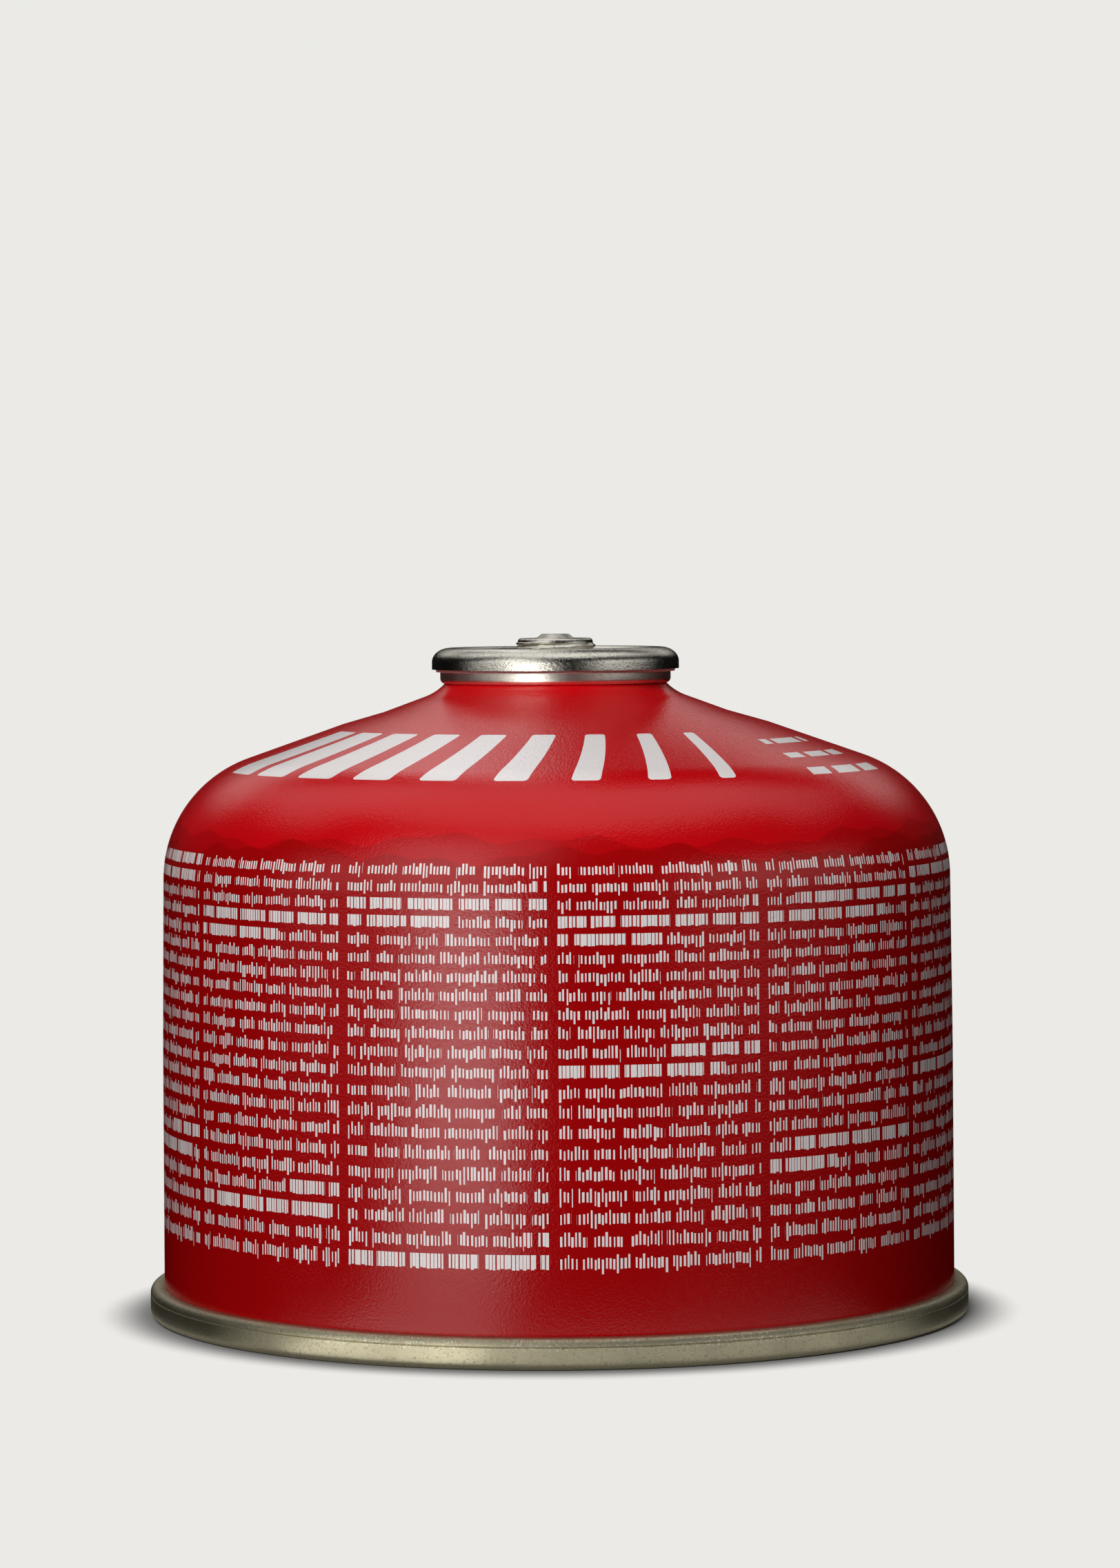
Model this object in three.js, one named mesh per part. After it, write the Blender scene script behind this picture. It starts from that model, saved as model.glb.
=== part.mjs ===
// Screw-valve gas canister: a drawn steel can, a seamed-on base and a crimped valve cup.
// Millimetres and degrees. +Z is up, and the origin is at the middle of the ring that it stands on.

import * as THREE from "three";

// Fits
const seatGap = 0.1; // between two pieces that seat on each other
const boreGap = 0.25; // between the cup's wall and the neck's bore

// Can body
const wallRadius = 54.0; // outside of the straight wall
const wallTaper = 0.2; // how much narrower the wall is where the shoulder starts
const straightHeight = 37.0; // height at which the taper starts
const wallHeight = 59.35; // height at which the shoulder starts
const shoulderRadius = 17.2; // rounding from the wall to the cone
const coneAngle = 19.4; // slope of the shoulder cone
const coneInnerRadius = 29.2; // where the cone meets the flatter ring
const flatRingAngle = 16.0; // slope of that ring
const creaseRadius = 23.6; // where the flatter ring meets the neck cone
const neckConeAngle = 20.2; // slope of the neck cone
const neckFillet = 7.0; // hollow rounding from the neck cone up to the neck
const neckSheet = 0.6; // wall of the neck
const neckBoreRadius = 12.7; // the standard one-inch opening
const curlSection = 1.55; // radius of the rolled curl's own section
const curlRootAngle = 20.0; // how far out from straight below the curl the neck joins it
const undercutAngle = 225.0; // where the curl's inner side runs out into the can body
const wellGap = 0.4; // room round the valve housing inside the can

// Base and double seam
const endSheet = 0.5; // sheet of the base
const seamHeight = 4.1;
const seamHook = 1.8; // rolled layers outside the wall
const seamFloor = 0.9; // rolled layers under the wall's lower edge
const seamLeg = 0.7; // the wall's lower edge inside the seam
const seamOuterRounding = 0.9;
const seamInnerRounding = 0.6;
const chuckHeight = 4.6; // height of the base's upright inner wall
const kneeRadius = 1.5; // rounding from the inner wall to the panel
const panelRadius = 183.0; // radius of the domed panel

// Valve cup
const cupSheet = 0.45;
const gasketTop = 0.74; // cup gasket above the curl
const gasketSide = 0.49; // cup gasket beside the curl
const gasketLip = 0.35; // how far the gasket shows below the skirt
const gasketInnerAngle = 110.0; // where the gasket ends on the inner side of the curl
const skirtDepth = 2.94; // from the bead's top to the skirt's lower edge
const beadRise = 1.94; // height of the bead's arch
const channelDepth = 6.0; // from the bead's top to the channel floor
const crimpGrowth = 0.9; // how far the wall is crimped out under the curl
const crimpSlope = 0.8; // height over which it widens
const channelCorner = 0.8; // rounding from the crimped wall to the floor
const bossFillet = 1.2; // rounding from the floor to the boss
const threadRadius = 5.555; // crests of the 7/16 inch thread
const threadDepth = 0.4;
const threadPitch = 0.907; // 28 turns to the inch
const bossProud = 1.26; // flat top of the boss above the bead's top
const bossRounding = 0.5;
const coneBaseRadius = 2.6; // raised cone round the mouth
const coneTopRadius = 1.85;
const coneRise = 0.56;
const mouthRadius = 1.3;

// Valve
const washerThickness = 1.5;
const washerBoreRadius = 1.5;
const housingFlange = 2.0; // height of the housing's flange inside the boss
const housingRadius = 4.0;
const housingShoulder = 4.0; // upper part of the housing below the flange
const tailRadius = 3.2;
const tailLength = 7.0;
const plungerRadius = 1.1;
const plungerDrop = 0.3; // plunger's tip below the underside of the boss's top

// Facets
const bodySides = 48;
const cupSides = 48;
const valveSides = 24;

const radians = THREE.MathUtils.degToRad;
const point = (r, z) => new THREE.Vector2(r, z);

// Points round an ellipse, or a circle when both half axes are alike, from one angle to another.
function arc(centre, halfAcross, halfUp, from, to, steps) {
  return Array.from({ length: steps + 1 }, (_, i) => {
    const angle = radians(from + ((to - from) * i) / steps);
    return point(centre.x + halfAcross * Math.cos(angle), centre.y + halfUp * Math.sin(angle));
  });
}

const circle = (centre, radius, from, to, steps) => arc(centre, radius, radius, from, to, steps);

// A turned piece: a profile that starts and ends on the axis, or one that is closed here on itself.
function turned(name, profile, sides, finish) {
  const onAxis = profile[0].x === 0;
  const outline = onAxis ? profile : [...profile, profile[0].clone()];
  const geometry = new THREE.LatheGeometry(outline, sides);
  geometry.rotateX(Math.PI / 2);
  const mesh = new THREE.Mesh(geometry, new THREE.MeshStandardMaterial(finish));
  mesh.name = name;
  return mesh;
}

// The base's panel and upright inner wall, at a distance above the face that shows from below.
const chuckRadius = wallRadius - seamLeg - seatGap - endSheet;
const kneeCentre = point(chuckRadius - kneeRadius, chuckHeight);
const kneeAngle = THREE.MathUtils.radToDeg(Math.acos(kneeCentre.x / (panelRadius - kneeRadius)));
const panelCentre = point(0, kneeCentre.y - (panelRadius - kneeRadius) * Math.sin(radians(kneeAngle)));

function panelFace(depth) {
  const panel = circle(panelCentre, panelRadius + depth, 90, kneeAngle, 4);
  panel[0].x = 0;
  return [...panel, ...circle(kneeCentre, kneeRadius + depth, kneeAngle, 0, 3).slice(1)];
}

// Lines of the can's shoulder and neck.
const shoulderStart = wallRadius - wallTaper;
const shoulderTurn = 90 - coneAngle;
const shoulderCentre = point(shoulderStart - shoulderRadius, wallHeight);
const coneStart = circle(shoulderCentre, shoulderRadius, shoulderTurn, shoulderTurn, 1)[0];
const climb = (from, radius, angle) => from.y + (from.x - radius) * Math.tan(radians(angle));
const coneEnd = point(coneInnerRadius, climb(coneStart, coneInnerRadius, coneAngle));
const crease = point(creaseRadius, climb(coneEnd, creaseRadius, flatRingAngle));
const neckRadius = neckBoreRadius + neckSheet;
const filletStartRadius = neckRadius + neckFillet * (1 - Math.sin(radians(neckConeAngle)));
const filletStart = point(filletStartRadius, climb(crease, filletStartRadius, neckConeAngle));
const filletCentre = point(
  neckRadius + neckFillet,
  filletStart.y + neckFillet * Math.cos(radians(neckConeAngle)),
);

// The curl sits where the neck's hollow rounding runs into it.
const curlRadius = neckBoreRadius + curlSection;
const curlRoot = curlRadius + curlSection * Math.sin(radians(curlRootAngle));
const filletEndAngle = THREE.MathUtils.radToDeg(Math.asin((filletCentre.x - curlRoot) / neckFillet));
const curlRootHeight = filletCentre.y - neckFillet * Math.cos(radians(filletEndAngle));
const curlCentre = point(curlRadius, curlRootHeight + curlSection * Math.cos(radians(curlRootAngle)));

// Levels and radii of the valve cup, stacked from the curl.
const curlTop = curlCentre.y + curlSection;
const beadTop = curlTop + seatGap + gasketTop + seatGap + cupSheet;
const archBase = beadTop - beadRise;
const skirtBottom = beadTop - skirtDepth;
const skirtRadius = curlRadius + curlSection + seatGap + gasketSide + seatGap + cupSheet;
const cupBoreRadius = neckBoreRadius - boreGap - cupSheet;
const archCentre = point((skirtRadius + cupBoreRadius) / 2, archBase);
const archHalf = (skirtRadius - cupBoreRadius) / 2;
const channelFloor = beadTop - channelDepth;
const crimpBoreRadius = cupBoreRadius + crimpGrowth;
const crimpTop = curlCentre.y - curlSection - seatGap;
const bossTop = beadTop + bossProud;
const bossRadius = threadRadius - threadDepth;

// Levels of the valve, stacked down from the underside of the boss's top.
const washerTop = bossTop - cupSheet - seatGap;
const flangeTop = washerTop - washerThickness - seatGap;
const flangeBottom = flangeTop - housingFlange;
const housingBottom = flangeBottom - housingShoulder;
const tailBottom = housingBottom - tailLength;
const seatRadius = bossRadius - cupSheet - seatGap;

function canBody() {
  const pocketRadius = crimpBoreRadius + cupSheet + seatGap;
  const pocketFloor = channelFloor - cupSheet - seatGap;
  const undercut = circle(curlCentre, curlSection, undercutAngle, undercutAngle, 1)[0];
  const wellRadius = housingRadius + wellGap;
  const wellBottom = tailBottom - wellGap;
  const legInner = chuckRadius + endSheet + seatGap;
  const legBottom = seamFloor + seatGap;
  const neckArc = circle(filletCentre, neckFillet, 270 - neckConeAngle, 270 - filletEndAngle, 4);
  const profile = [
    ...panelFace(endSheet + seatGap),
    point(legInner, legBottom),
    point(wallRadius, legBottom),
    point(wallRadius, straightHeight),
    ...circle(shoulderCentre, shoulderRadius, 0, shoulderTurn, 8),
    coneEnd,
    crease,
    ...neckArc,
    ...circle(curlCentre, curlSection, curlRootAngle - 90, undercutAngle, 9).slice(1, -1),
    undercut,
    point(pocketRadius, undercut.y - (pocketRadius - undercut.x)),
    point(pocketRadius, pocketFloor),
    point(wellRadius, pocketFloor),
    point(wellRadius, wellBottom),
    point(0, wellBottom),
  ];
  return turned("can_body", profile, bodySides, { color: 0xb0101a, roughness: 0.35, metalness: 0.2 });
}

function bottomEnd() {
  const seamRadius = wallRadius + seatGap + seamHook;
  const foot = point(seamRadius - seamOuterRounding, seamOuterRounding);
  const shoulder = point(seamRadius - seamOuterRounding, seamHeight - seamOuterRounding);
  const heel = point(chuckRadius + seamInnerRounding, seamInnerRounding);
  const profile = [
    ...panelFace(0),
    ...circle(heel, seamInnerRounding, 180, 270, 2),
    ...circle(foot, seamOuterRounding, 270, 360, 3),
    ...circle(shoulder, seamOuterRounding, 0, 90, 3),
    point(wallRadius + seatGap, seamHeight),
    point(wallRadius + seatGap, seamFloor),
    point(chuckRadius + endSheet, seamFloor),
    ...panelFace(endSheet).reverse(),
  ];
  return turned("bottom_end", profile, bodySides, { color: 0x91886c, roughness: 0.35, metalness: 0.9 });
}

// One face of the valve cup, from the skirt's lower edge to the mouth, at a depth below the face that shows.
function cupFace(depth, bossFace) {
  const corner = point(crimpBoreRadius - channelCorner, channelFloor + channelCorner);
  const root = point(bossRadius + bossFillet, channelFloor + bossFillet);
  return [
    point(skirtRadius - depth, skirtBottom),
    ...arc(archCentre, archHalf - depth, beadRise - depth, 0, 180, 7),
    point(cupBoreRadius + depth, crimpTop),
    point(crimpBoreRadius + depth, crimpTop - crimpSlope),
    ...circle(corner, channelCorner + depth, 0, -90, 2),
    ...circle(root, bossFillet + depth, 270, 180, 2),
    ...bossFace,
    point(coneBaseRadius, bossTop - depth),
    point(coneTopRadius, bossTop + coneRise - depth),
    point(mouthRadius, bossTop + coneRise - depth),
  ];
}

function valveCup() {
  const threadStart = channelFloor + bossFillet;
  const threadEnd = bossTop - bossRounding;
  const turns = Math.floor((threadEnd - threadStart) / threadPitch);
  const ridges = Array.from({ length: turns }, (_, i) => {
    const level = threadEnd - (turns - i) * threadPitch;
    return [point(bossRadius, level), point(threadRadius, level + threadPitch / 2)];
  }).flat();
  const rounding = circle(point(bossRadius - bossRounding, threadEnd), bossRounding, 0, 90, 2);
  const outside = cupFace(0, [...ridges, ...rounding]);
  const inside = cupFace(cupSheet, [point(bossRadius - cupSheet, bossTop - cupSheet)]);
  const profile = [...outside.reverse(), ...inside];
  return turned("valve_cup", profile.reverse(), cupSides, { color: 0x9c998c, roughness: 0.3, metalness: 1 });
}

function cupGasket() {
  const lip = skirtBottom - gasketLip;
  const innerRadius = curlSection + seatGap;
  const lipAngle = THREE.MathUtils.radToDeg(Math.asin((lip - curlCentre.y) / innerRadius));
  const outerAcross = archHalf - cupSheet - seatGap;
  const outerUp = beadRise - cupSheet - seatGap;
  const profile = [
    point(archCentre.x + outerAcross, lip),
    ...arc(archCentre, outerAcross, outerUp, 0, gasketInnerAngle, 5),
    ...circle(curlCentre, innerRadius, gasketInnerAngle, lipAngle, 6),
  ];
  return turned("cup_gasket", profile, cupSides, { color: 0x4a4640, roughness: 0.7, metalness: 0 });
}

function stemGasket() {
  const washerBottom = washerTop - washerThickness;
  const profile = [
    point(washerBoreRadius, washerBottom),
    point(seatRadius, washerBottom),
    point(seatRadius, washerTop),
    point(washerBoreRadius, washerTop),
  ];
  return turned("stem_gasket", profile, valveSides, { color: 0x1c1c1c, roughness: 0.8, metalness: 0 });
}

function valveInsert() {
  const plungerTop = bossTop - cupSheet - plungerDrop;
  const profile = [
    point(0, tailBottom),
    point(tailRadius, tailBottom),
    point(tailRadius, housingBottom),
    point(housingRadius, housingBottom),
    point(housingRadius, flangeBottom),
    point(seatRadius, flangeBottom),
    point(seatRadius, flangeTop),
    point(plungerRadius, flangeTop),
    point(plungerRadius, plungerTop),
    point(0, plungerTop),
  ];
  return turned("valve_insert", profile, valveSides, { color: 0xd8d8d0, roughness: 0.5, metalness: 0 });
}

const canister = new THREE.Group();
canister.add(canBody(), bottomEnd(), valveCup(), cupGasket(), stemGasket(), valveInsert());

export default canister;
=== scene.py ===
"""Screw-valve gas canister, dressed round its CAD frame. Metres, +Z up, the canister's front towards -Y."""

import math
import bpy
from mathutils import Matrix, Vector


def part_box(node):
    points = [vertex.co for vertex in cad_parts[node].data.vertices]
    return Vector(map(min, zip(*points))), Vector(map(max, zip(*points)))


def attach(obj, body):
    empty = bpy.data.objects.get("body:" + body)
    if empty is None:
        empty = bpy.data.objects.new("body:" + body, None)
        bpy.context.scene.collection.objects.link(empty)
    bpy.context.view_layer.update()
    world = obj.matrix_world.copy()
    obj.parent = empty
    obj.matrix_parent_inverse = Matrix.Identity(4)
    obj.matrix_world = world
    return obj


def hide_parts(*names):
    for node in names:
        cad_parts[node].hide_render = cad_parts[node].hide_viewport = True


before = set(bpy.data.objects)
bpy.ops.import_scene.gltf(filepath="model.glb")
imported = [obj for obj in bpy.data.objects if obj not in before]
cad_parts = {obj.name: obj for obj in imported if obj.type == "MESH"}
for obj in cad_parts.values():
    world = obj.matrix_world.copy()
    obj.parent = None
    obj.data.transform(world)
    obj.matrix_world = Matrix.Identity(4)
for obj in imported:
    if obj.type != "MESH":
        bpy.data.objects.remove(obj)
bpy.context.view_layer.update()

from types import SimpleNamespace

import bmesh
import bpy
from mathutils import Matrix, Vector

bl_info = {
    "name": "Gas canister",
    "version": (1, 0, 0),
    "blender": (4, 5, 0),
    "location": "3D View > Sidebar > Canister",
    "description": "Builds a painted gas canister with a seamed base and a crimped screw valve",
    "category": "Object",
}

MM = 0.001
PHOTO_SIZE = (1624, 2274)
MERGE = 1e-6
SHARP = math.radians(35)

CAN_SIDES = 288
CUP_SIDES = 192
VALVE_SIDES = 96
DOME_SIDES = 96
PANEL_STEPS = 12
ARCH_STEPS = 28
CURL_STEPS = 24
BEND_STEPS = 6

CAN_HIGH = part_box("can_body")[1]
BASE_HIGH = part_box("bottom_end")[1]
CUP_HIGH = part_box("valve_cup")[1]
SEAL_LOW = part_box("cup_gasket")[0]
WASHER_LOW, WASHER_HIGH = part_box("stem_gasket")
VALVE_LOW, VALVE_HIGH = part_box("valve_insert")


# Kinds of property


def length(name, description, default):
    """A size in metres."""
    return bpy.props.FloatProperty(
        name=name, description=description, default=default, min=0, precision=5, unit="LENGTH"
    )


def angle(name, description, degrees):
    """An angle, given here in degrees."""
    turn = math.radians(degrees)
    return bpy.props.FloatProperty(
        name=name, description=description, default=turn, subtype="ANGLE", unit="ROTATION"
    )


def amount(name, description, default):
    """A plain number from nought up."""
    return bpy.props.FloatProperty(name=name, description=description, default=default, min=0)


def count(name, description, default):
    """A whole number."""
    return bpy.props.IntProperty(name=name, description=description, default=default, min=1)


def colour(name, description, red, green, blue):
    """A colour, given as linear values."""
    return bpy.props.FloatVectorProperty(
        name=name, description=description, default=(red, green, blue), subtype="COLOR", min=0, max=1
    )


class CanSizes(bpy.types.PropertyGroup):
    """Sizes of the drawn can."""

    wall_radius: length("Wall radius", "Outside of the straight wall", CAN_HIGH.x)
    wall_taper: length("Wall taper", "How much narrower the wall is under the shoulder", 0.2 * MM)
    straight_height: length("Straight height", "Height at which the taper starts", 37.0 * MM)
    wall_height: length("Wall height", "Height at which the shoulder starts", 59.35 * MM)
    shoulder_radius: length("Shoulder rounding", "Rounding from the wall to the cone", 17.2 * MM)
    cone_angle: angle("Cone slope", "Slope of the shoulder's cone", 19.4)
    cone_inner_radius: length("Cone's inner radius", "Where the cone meets the flatter ring", 29.2 * MM)
    flat_ring_angle: angle("Ring slope", "Slope of the flatter ring", 16.0)
    crease_radius: length("Crease radius", "Where the ring meets the neck's cone", 23.6 * MM)
    neck_cone_angle: angle("Neck slope", "Slope of the cone at the neck", 20.2)
    neck_fillet: length("Neck rounding", "Hollow rounding up to the neck", 7.0 * MM)
    neck_sheet: length("Neck sheet", "Wall of the neck", 0.6 * MM)
    neck_bore: length("Neck bore", "Radius of the opening", 12.7 * MM)
    curl_section: length("Curl", "Radius of the rolled curl's section", 1.55 * MM)
    curl_root: angle("Curl root", "How far out under the curl the neck joins it", 20.0)
    undercut: angle("Undercut", "How far the curl's section turns before the pocket starts", 225.0)
    well_radius: length("Well radius", "Room for the valve's housing inside the can", 4.405 * MM)
    well_gap: length("Well room", "Room under the valve inside the can", 0.4 * MM)
    curl_drop: length("Curl drop", "From the curl's centre down to its foot", 1.97 * MM)
    curl_foot: length("Curl foot", "Rounding under the curl's upright face", 0.7 * MM)
    foot_start: angle("Foot start", "Where the foot's rounding leaves the neck", -80.0)
    paint_edge: amount("Paint edge", "Where the paint ends, as a share of the curl's drop", 0.98)


class BaseSizes(bpy.types.PropertyGroup):
    """Sizes of the base and its seam."""

    seam_radius: length("Seam radius", "Outside of the seam", BASE_HIGH.x)
    seam_height: length("Seam height", "Height of the seam", 4.1 * MM)
    sheet: length("Sheet", "Thickness of the base", 0.5 * MM)
    seam_floor: length("Seam floor", "Layers under the wall's lower edge", 0.9 * MM)
    seam_leg: length("Leg", "The wall's lower edge inside the seam", 0.7 * MM)
    outer_rounding: length("Outer rounding", "Rounding of the seam's outer corners", 1.0 * MM)
    roll_mark: length("Roll mark", "Groove that the seaming roll leaves round the seam", 0.12 * MM)
    inner_rounding: length("Inner rounding", "Rounding of the seam's inner corner", 0.6 * MM)
    chuck_height: length("Inner wall", "Height of the upright inner wall", 4.6 * MM)
    knee: length("Knee", "Rounding from the inner wall to the panel", 1.5 * MM)
    panel_radius: length("Panel radius", "Radius of the domed panel", 183.0 * MM)
    seat_gap: length("Seat gap", "Gap between seated pieces", 0.1 * MM)
    hook_gap: length("Hook gap", "Between the wall and the seam's hook", 0.03 * MM)


class CupSizes(bpy.types.PropertyGroup):
    """Sizes of the valve cup and the valve."""

    skirt_radius: length("Skirt radius", "Outside of the cup's skirt", CUP_HIGH.x)
    sheet: length("Sheet", "Thickness of the cup", 0.45 * MM)
    skirt_depth: length("Skirt depth", "From the bead's top to the skirt's edge", 2.94 * MM)
    bead_rise: length("Bead rise", "Height of the bead's arch", 1.94 * MM)
    channel_depth: length("Channel depth", "From the bead's top to the channel", 6.0 * MM)
    bore_gap: length("Bore gap", "Between the cup's wall and the neck", 0.25 * MM)
    crimp_growth: length("Crimp", "How far the wall is crimped out", 0.9 * MM)
    crimp_slope: length("Crimp slope", "Height over which it widens", 0.8 * MM)
    channel_corner: length("Channel corner", "Rounding of the channel's corner", 0.8 * MM)
    boss_fillet: length("Boss rounding", "Rounding from the channel to the boss", 1.2 * MM)
    thread_radius: length("Thread radius", "Crests of the thread", 5.555 * MM)
    thread_depth: length("Thread depth", "Depth of the rolled thread", 0.4 * MM)
    thread_pitch: length("Thread pitch", "28 turns to the inch", 0.907 * MM)
    boss_proud: length("Boss rise", "Flat top of the boss above the bead", 1.26 * MM)
    boss_edge: length("Boss edge", "Rounding of the boss's top edge", 0.5 * MM)
    cone_base: length("Cone base", "Radius of the raised cone's foot", 2.6 * MM)
    cone_top: length("Cone top", "Radius of the raised cone's top", 1.85 * MM)
    cone_rise: length("Cone rise", "Height of the raised cone", 0.56 * MM)
    mouth_radius: length("Mouth", "Radius of the valve's mouth", 1.3 * MM)


class ValveSizes(bpy.types.PropertyGroup):
    """Sizes of the washer and the valve's housing."""

    washer_bore: length("Washer bore", "Hole of the washer", 1.5 * MM)
    edge: length("Edge", "Bevel of the outer edges", 0.12 * MM)
    housing_radius: length("Housing radius", "Upper part of the housing", 4.0 * MM)
    housing_height: length("Housing height", "Upper part of the housing under its flange", 4.0 * MM)
    tail_radius: length("Tail radius", "Lower part of the housing", 3.2 * MM)
    flange_height: length("Flange", "Height of the flange inside the boss", 2.0 * MM)
    plunger_radius: length("Plunger radius", "Plunger in the valve's mouth", 1.1 * MM)


class PrintLayout(bpy.types.PropertyGroup):
    """Where the generic print lies."""

    columns: count("Columns", "Columns of ticks round the wall", 12)
    column_turn: angle("Column turn", "Where the gap beside the front column lies", -0.7)
    column_gap: length("Column gap", "Bare width between two columns", 1.3 * MM)
    rows: count("Rows", "Rows in a column", 21)
    row_pitch: length("Row pitch", "From one row to the next", 2.49 * MM)
    row_squeeze: amount("Row squeeze", "How much closer the top rows are than the bottom ones", 0.29)
    tick_height: amount("Tick height", "Height of a tall tick as a share of the row pitch", 0.68)
    lowest_row: length("Lowest row", "Height of the lowest row's foot", 12.4 * MM)
    field_height: length("Field height", "Mean height of the dark field's upper edge", 65.0 * MM)
    haze_rise: length("Haze rise", "How much higher the field's paler layer reaches", 1.6 * MM)
    shoulder_margin: length("Shoulder margin", "Bare band between the field and stripes", 3.0 * MM)
    print_foot: length("Print foot", "Height below which nothing is printed", 5.0 * MM)
    stripe_inner: length("Stripe inner radius", "Inner end of the shoulder stripes", 31.0 * MM)
    stripe_outer: length("Stripe outer radius", "Outer end of the shoulder stripes", 45.4 * MM)
    stripe_turn: angle("Stripe turn", "Middle of the striped band", -17.5)
    stripe_span: angle("Stripe span", "Width of the striped band", 111.0)
    stripes: count("Stripes", "Stripes in the band", 9)
    stripe_lean: amount("Stripe lean", "Sideways step for each step outwards", 0.22)
    stripe_width: amount("Stripe width", "Half the first stripe's width, as a share of their step", 0.40)
    stripe_thinning: amount("Stripe thinning", "How much of that each next stripe loses", 0.034)
    stripe_rounding: length("Stripe rounding", "Rounding of the stripes' corners", 0.5 * MM)
    dash_rows: count("Dash rows", "Rows of dashes beside the stripes", 3)
    dash_start: angle("Dash start", "Where the dashes start, from the middle of the stripes", 68.0)
    dash_span: angle("Dash span", "How far round the dashes reach", 37.0)
    dash_height: amount("Dash height", "Height of a dash as a share of its row", 0.34)


class FinishColours(bpy.types.PropertyGroup):
    """Colours of the finishes."""

    bright_red: colour("Bright red", "Lacquer on the shoulder", 0.55, 0.0012, 0.0045)
    dark_red: colour("Dark red", "Printed field on the wall", 0.35, 0.0008, 0.0016)
    middle_red: colour("Middle red", "Second layer of the field's edge", 0.44, 0.0010, 0.0030)
    print_white: colour("Print", "Pale print", 0.82, 0.79, 0.78)
    gold_lacquer: colour("Gold lacquer", "Lacquered base", 0.58, 0.53, 0.36)
    tinplate: colour("Tinplate", "Bare cup and curl", 0.92, 0.88, 0.77)
    seal: colour("Seal", "Ring under the cup", 0.50, 0.42, 0.39)
    washer: colour("Washer", "Rubber in the valve", 0.02, 0.02, 0.02)
    valve: colour("Valve", "Moulded valve", 0.66, 0.66, 0.60)
    studio: colour("Studio", "Floor and backdrop", 0.831, 0.823, 0.791)


class StageSettings(bpy.types.PropertyGroup):
    """Camera, lamps and reflected studio."""

    distance: length("Camera distance", "From the canister's axis to the camera", 697.0 * MM)
    height: length("Camera height", "Camera above the floor", 101.3 * MM)
    lens: amount("Lens", "Focal length in millimetres on a 36 mm sensor", 116.65)
    horizon: amount("Horizon", "Row of the photograph at the camera's height", 825.0)
    middle: amount("Middle", "Column of the photograph straight ahead", 804.4)
    roll: angle("Roll", "How far the camera leans", -0.384)
    key_power: amount("Key lamp", "Front left, where 1 shows the colours as written", 0.97)
    top_power: amount("Top lamp", "Light from above", 0.06)
    fill_power: amount("Fill lamp", "Light from the right", 0.03)
    back_power: amount("Back lamps", "Light from behind on both sides", 0.45)
    ambient: amount("Ambient", "Even light from all round", 0.05)
    bounce: amount("Bounce", "Share of its light that the floor throws back up", 0.08)
    # The contact shadow is partly painted: the floor's own colour darkens near the base to the shadow tone.
    shadow_start: length("Shadow start", "Where the contact shadow starts to fade", 55.2 * MM)
    shadow_reach: length("Shadow reach", "Where the contact shadow has faded, from the axis", 63.6 * MM)
    shadow_tone: amount("Shadow tone", "Brightness of the floor right beside the base", 0.22)
    glow_panel: amount("Key panel", "Brightness of the key softbox in reflections", 1.45)
    side_panel: amount("Side panel", "Brightness of the left softbox in reflections", 0.65)
    right_panel: amount("Right panel", "Brightness of the right softbox in reflections", 0.80)
    top_panel: amount("Top panel", "Brightness of the overhead bank in reflections", 0.80)
    floor_glow: amount("Floor glow", "Brightness of the floor near the base in reflections", 1.0)
    backdrop: amount("Backdrop", "Share of the pale backdrop in reflections", 0.9)
    dark_room: amount("Dark room", "Brightness of the unlit studio in reflections", 0.006)


GROUPS = {
    "canister_can": CanSizes,
    "canister_base": BaseSizes,
    "canister_cup": CupSizes,
    "canister_valve": ValveSizes,
    "canister_print": PrintLayout,
    "canister_colours": FinishColours,
    "canister_stage": StageSettings,
}

# Waves of the dark field's edge and of the paler layer behind it: count round the can, height and start.
FIELD_WAVES = ((7, 0.8 * MM, 0.4), (19, 0.5 * MM, 2.0), (43, 0.35 * MM, 1.0))
HAZE_WAVES = ((5, 0.6 * MM, 2.6), (17, 0.5 * MM, 0.3), (37, 0.3 * MM, 4.0))

# Seeds of the print's random numbers: the first column of ticks, and the dashes.
TICK_SEED = 40.0
DASH_SEED = 3.0

# Soft panels of the reflected studio: the setting with their brightness, a share of it, their left, right,
# lower and upper edges in degrees round from the camera and up from the floor, and the blur of those edges.
STUDIO_PANELS = (
    ("glow_panel", 1.00, -50, -14, 7, 26, 3),
    ("glow_panel", 0.85, -59, -24, 26, 46, 5),
    ("side_panel", 1.00, -80, -52, 7, 26, 3),
    ("right_panel", 1.00, 38, 70, 7, 24, 3),
    ("right_panel", 0.55, 70, 97, 7, 24, 3),
    ("glow_panel", 0.46, -45, -11, -4, 7, 2),
    ("side_panel", 0.85, -85, -45, -4, 7, 2),
    ("right_panel", 0.75, 32, 62, -4, 7, 2),
    ("right_panel", 0.45, 62, 84, -4, 7, 2),
    ("top_panel", 0.80, -143, -95, 38, 56, 5),
    ("top_panel", 0.60, 95, 137, 41, 56, 5),
    ("glow_panel", 0.90, -178, -162, 36, 72, 5),
)
OVERHEAD_BANK = (("top_panel", 1.0, -148, 143, 56, 200, 5),)
FLOOR_KEY = (("glow_panel", 1.0, -40, -11, -5, 5, 4),)
FLOOR_NEAR = (("floor_glow", 1.15, -48, 20, -5, 5, 12), ("floor_glow", 0.75, 20, 58, -5, 5, 10))

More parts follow.
